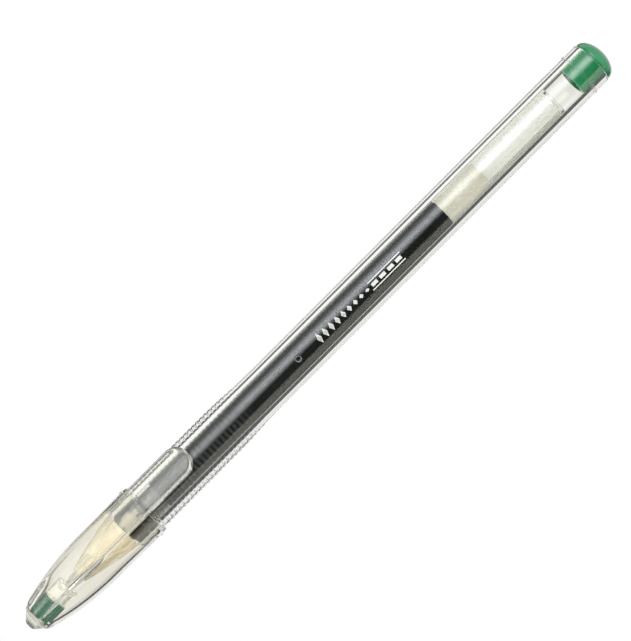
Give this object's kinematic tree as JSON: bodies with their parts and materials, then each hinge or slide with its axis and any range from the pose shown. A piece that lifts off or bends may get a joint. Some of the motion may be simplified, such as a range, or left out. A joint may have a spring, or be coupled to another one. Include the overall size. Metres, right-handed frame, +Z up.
{
  "type": "gel pen",
  "caption": "Capped gel pen: clear barrel with a ringed grip, clear bullet cap with a long clip, green end plug, and a refill whose follower slides along the ink.",
  "frame": {"origin": "centre of the pen's bounding box, on the surface the pen lies on", "axes": "+X along the pen towards its rear plug, +Z up with the clip on top"},
  "size_m": [0.1496, 0.0112, 0.0127],
  "materials": {
    "barrel_clear": "clear polystyrene, polished",
    "cap_clear": "clear plastic with a faint cream tint, polished",
    "nose_tint": "clear plastic, grey green where the insert shows through",
    "plug_green": "glossy moulded green",
    "insert_green": "glossy moulded green, ribbed",
    "refill_clear": "translucent polypropylene tube",
    "holder_amber": "translucent amber plastic",
    "tip_steel": "turned stainless steel",
    "ball_metal": "polished hard metal",
    "gel_ink": "dark green gel",
    "grease": "cream follower grease",
    "float_white": "white moulded rod",
    "seal_rubber": "natural soft plastic"
  },
  "bodies": {
    "barrel": {"barrel": "barrel_clear", "rear_plug": "plug_green"},
    "refill": {"refill_tube": "refill_clear", "tip_holder": "holder_amber", "metal_tip": "tip_steel", "ink": "gel_ink"},
    "ball": {"writing_ball": "ball_metal"},
    "follower": {"follower_grease": "grease", "follower_float": "float_white"},
    "tip_seal": {"tip_seal": "seal_rubber"},
    "cap": {"cap_shell": "cap_clear", "nose_plug": "nose_tint", "colour_insert": "insert_green"},
    "clip": {"cap_clip": "cap_clear"}
  },
  "joints": [
    {"name": "refill_pull", "type": "slide", "parent": "barrel", "child": "refill", "axis": [-1, 0, 0], "range_m": [0, 0.115]},
    {"name": "ball_roll", "type": "hinge", "parent": "refill", "child": "ball", "pos_m": [-0.06555, 0, 0.0056], "axis": [0, 1, 0], "continuous": true},
    {"name": "follower_slide", "type": "slide", "parent": "refill", "child": "follower", "axis": [-1, 0, 0], "range_m": [0, 0.0735], "deforming": ["ink"]},
    {"name": "cap_pull", "type": "slide", "parent": "refill", "child": "tip_seal", "axis": [-1, 0, 0], "range_m": [0, 0.045]},
    {"name": "cap_turn", "type": "hinge", "parent": "tip_seal", "child": "cap", "pos_m": [-0.0448, 0, 0.0056], "axis": [1, 0, 0], "continuous": true},
    {"name": "clip_flex", "type": "hinge", "parent": "cap", "child": "clip", "pos_m": [-0.06784, 0, 0.0115], "axis": [0, -1, 0], "range_deg": [0, 4], "stiffness_Nm_per_rad": 0.22}
  ]
}
